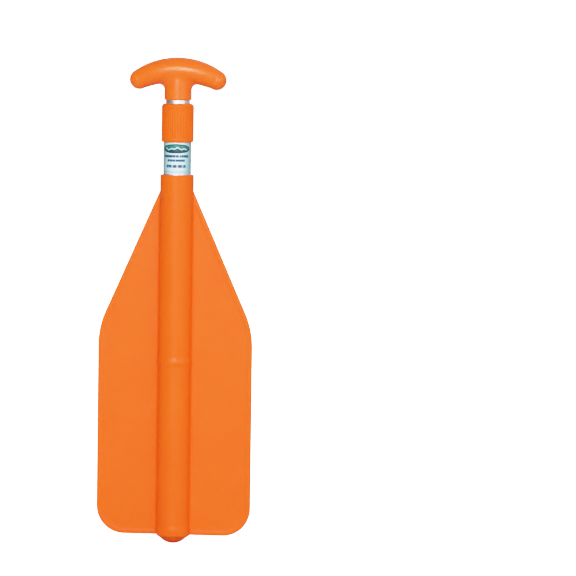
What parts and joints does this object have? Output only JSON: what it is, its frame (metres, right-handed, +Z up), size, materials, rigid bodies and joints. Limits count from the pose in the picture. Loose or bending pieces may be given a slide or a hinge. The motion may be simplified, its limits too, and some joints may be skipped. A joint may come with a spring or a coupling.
{
  "type": "telescoping boat paddle",
  "caption": "Telescoping hand paddle: broad moulded blade with a tubular spine, two-stage aluminium shaft with inner twist locks, ribbed grip and T-handle.",
  "frame": {"origin": "tip of the nose cap, on the shaft axis", "axes": "+Z up along the shaft towards the T-handle, +X to the right along the blade's width, front face towards -Y"},
  "size_m": [0.1784, 0.04, 0.559],
  "materials": {
    "blade_plastic": "satin moulded safety orange",
    "handle_plastic": "satin moulded safety orange",
    "grip_plastic": "satin moulded safety orange, ribbed",
    "tube_aluminium": "clear-anodised drawn tube",
    "label_film": "glossy printed film",
    "lock_nylon": "natural nylon",
    "lock_steel": "zinc-plated steel",
    "rivet_aluminium": "plain"
  },
  "bodies": {
    "blade": {"blade": "blade_plastic", "nose_cap": "blade_plastic"},
    "lower_lock": {"lower_expander": "lock_nylon"},
    "lower_wedge": {"lower_cone_nut": "lock_nylon"},
    "shaft": {"main_tube": "tube_aluminium", "grip_sleeve": "grip_plastic", "guide_bush": "lock_nylon", "label": "label_film", "lower_lock_plug": "lock_nylon", "lower_plug_pin": "lock_steel", "lower_lock_screw": "lock_steel", "lower_retainer": "lock_steel"},
    "upper_lock": {"upper_expander": "lock_nylon"},
    "upper_wedge": {"upper_cone_nut": "lock_nylon"},
    "handle": {"handle_tube": "tube_aluminium", "t_handle": "handle_plastic", "handle_rivet": "rivet_aluminium", "upper_lock_plug": "lock_nylon", "upper_plug_pin": "lock_steel", "upper_lock_screw": "lock_steel", "upper_retainer": "lock_steel"}
  },
  "joints": [
    {"name": "lower_slide", "type": "slide", "parent": "blade", "child": "lower_lock", "axis": [0, 0, 1], "range_m": [0, 0.146]},
    {"name": "lower_twist", "type": "hinge", "parent": "lower_lock", "child": "shaft", "pos_m": [0, 0, 0.037], "axis": [0, 0, -1], "range_deg": [0, 270]},
    {"name": "lower_wedge_slide", "type": "slide", "parent": "lower_lock", "child": "lower_wedge", "axis": [0, 0, 1], "range_m": [0, 0.0009376]},
    {"name": "upper_slide", "type": "slide", "parent": "shaft", "child": "upper_lock", "axis": [0, 0, 1], "range_m": [0, 0.362]},
    {"name": "upper_twist", "type": "hinge", "parent": "upper_lock", "child": "handle", "pos_m": [0, 0, 0.101], "axis": [0, 0, -1], "range_deg": [0, 270]},
    {"name": "upper_wedge_slide", "type": "slide", "parent": "upper_lock", "child": "upper_wedge", "axis": [0, 0, 1], "range_m": [0, 0.0009376]}
  ],
  "couplings": [
    {"joint": "lower_wedge_slide", "follows": "lower_twist", "m_per_rad": 0.00019894},
    {"joint": "upper_wedge_slide", "follows": "upper_twist", "m_per_rad": 0.00019894}
  ]
}
